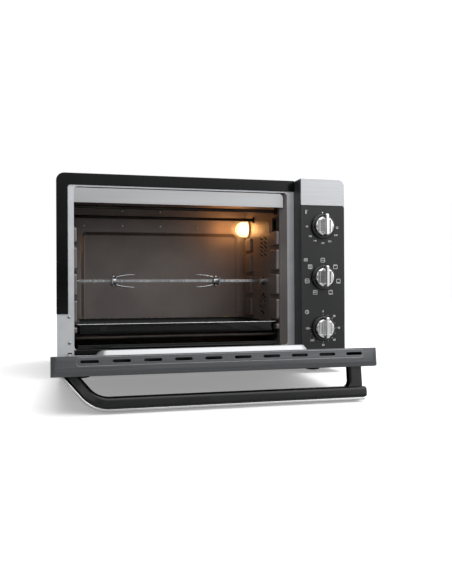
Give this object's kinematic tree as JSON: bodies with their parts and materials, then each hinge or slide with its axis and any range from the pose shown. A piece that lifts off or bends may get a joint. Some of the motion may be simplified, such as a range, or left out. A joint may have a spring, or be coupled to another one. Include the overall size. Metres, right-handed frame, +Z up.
{
  "type": "rotisserie oven",
  "caption": "Countertop rotisserie oven: drop-down glazed door with a bar handle, motor-driven spit with forks, pull-out trays and rotary controls in a side panel.",
  "frame": {"origin": "on the worktop, at the centre of the footprint of the oven with its door open", "axes": "+Z up, -Y towards the user and the open door, +X to the control panel side"},
  "size_m": [0.56, 0.684, 0.386],
  "materials": {
    "casing_enamel": "satin black enamel",
    "pan_zinc": "zinc-plated sheet",
    "frame_zinc": "galvanised sheet",
    "bezel_enamel": "gloss black enamel",
    "cavity_steel": "aluminised sheet darkened by heat",
    "deflector_steel": "polished sheet",
    "element_incoloy": "oxidised heater tube",
    "lamp_ceramic": "glazed ceramic",
    "lamp_frost": "frosted bulb",
    "lamp_cover": "clear cover",
    "housing_plastic": "moulded, fine grain",
    "fascia_black": "satin black panel with printed marks",
    "brushed_silver": "brushed silver",
    "switch_steel": "zinc-plated can",
    "switch_plastic": "moulded phenolic",
    "motor_steel": "plated motor frame",
    "bracket_steel": "plated bracket",
    "foot_rubber": "soft rubber",
    "screw_steel": "blackened screw",
    "gland_nylon": "nylon",
    "spit_steel": "polished stainless",
    "fan_aluminium": "pressed aluminium",
    "tray_enamel": "black vitreous enamel",
    "crumb_enamel": "black vitreous enamel",
    "rail_black": "satin black",
    "pan_steel": "pressed bright steel",
    "door_glass": "dark tinted glass",
    "handle_black": "satin black",
    "strip_chrome": "chromed strip",
    "skirt_black": "satin black skirt",
    "knob_chrome": "polished cap"
  },
  "bodies": {
    "oven": {"outer_casing": "casing_enamel", "base_pan": "pan_zinc", "back_panel": "pan_zinc", "front_frame": "frame_zinc", "bezel_trim": "bezel_enamel", "cavity_ceiling": "cavity_steel", "cavity_floor": "cavity_steel", "cavity_back": "cavity_steel", "cavity_left": "cavity_steel", "cavity_right": "cavity_steel", "top_deflector": "deflector_steel", "element_top_front": "element_incoloy", "element_top_rear": "element_incoloy", "element_low_front": "element_incoloy", "element_low_rear": "element_incoloy", "element_brackets": "bracket_steel", "lamp_holder": "lamp_ceramic", "lamp_bulb": "lamp_frost", "lamp_glass": "lamp_cover", "control_housing": "housing_plastic", "control_fascia": "fascia_black", "silver_cap": "brushed_silver", "thermostat": "switch_steel", "selector_switch": "switch_plastic", "timer": "switch_plastic", "spit_motor": "motor_steel", "spit_bearing": "bracket_steel", "fan_motor": "motor_steel", "fan_grille": "bracket_steel", "hinge_brackets": "bracket_steel", "feet": "foot_rubber", "casing_screws": "screw_steel", "cable_gland": "gland_nylon"},
    "door": {"door_top_cap": "brushed_silver", "door_rail_left": "rail_black", "door_rail_right": "rail_black", "door_rail_bottom": "rail_black", "door_inner_pan": "pan_steel", "door_outer_glass": "door_glass", "door_inner_glass": "door_glass", "hinge_arms": "bracket_steel", "handle_bar": "handle_black", "handle_strip": "strip_chrome"},
    "spit": {"spit_socket": "spit_steel", "spit_rod": "spit_steel", "spit_fork_left": "spit_steel", "spit_fork_right": "spit_steel", "fork_screws": "spit_steel"},
    "fan": {"fan_rotor": "fan_aluminium"},
    "baking_tray": {"baking_tray": "tray_enamel"},
    "crumb_tray": {"crumb_tray": "crumb_enamel"},
    "timer_knob": {"timer_skirt": "skirt_black", "timer_cap": "knob_chrome"},
    "function_knob": {"function_skirt": "skirt_black", "function_cap": "knob_chrome"},
    "heat_knob": {"heat_skirt": "skirt_black", "heat_cap": "knob_chrome"}
  },
  "joints": [
    {"name": "door_hinge", "type": "hinge", "parent": "oven", "child": "door", "pos_m": [-0.046, -0.00002, 0.0445], "axis": [1, 0, 0], "range_deg": [-83.3, 0]},
    {"name": "timer_turn", "type": "hinge", "parent": "oven", "child": "timer_knob", "pos_m": [0.2335, -0.03102, 0.0885], "axis": [0, 1, 0], "range_deg": [0, 300]},
    {"name": "function_turn", "type": "hinge", "parent": "oven", "child": "function_knob", "pos_m": [0.2335, -0.03102, 0.1895], "axis": [0, 1, 0], "range_deg": [-90, 180]},
    {"name": "heat_turn", "type": "hinge", "parent": "oven", "child": "heat_knob", "pos_m": [0.2335, -0.03102, 0.2905], "axis": [0, 1, 0], "range_deg": [0, 270]},
    {"name": "spit_turn", "type": "hinge", "parent": "oven", "child": "spit", "pos_m": [-0.2492, 0.12198, 0.185], "axis": [1, 0, 0], "continuous": true},
    {"name": "fan_spin", "type": "hinge", "parent": "oven", "child": "fan", "pos_m": [0.16, 0.12398, 0.134], "axis": [1, 0, 0], "continuous": true},
    {"name": "tray_slide", "type": "slide", "parent": "oven", "child": "baking_tray", "axis": [0, -1, 0], "range_m": [0, 0.2]},
    {"name": "crumb_slide", "type": "slide", "parent": "oven", "child": "crumb_tray", "axis": [0, -1, 0], "range_m": [0, 0.045]}
  ]
}
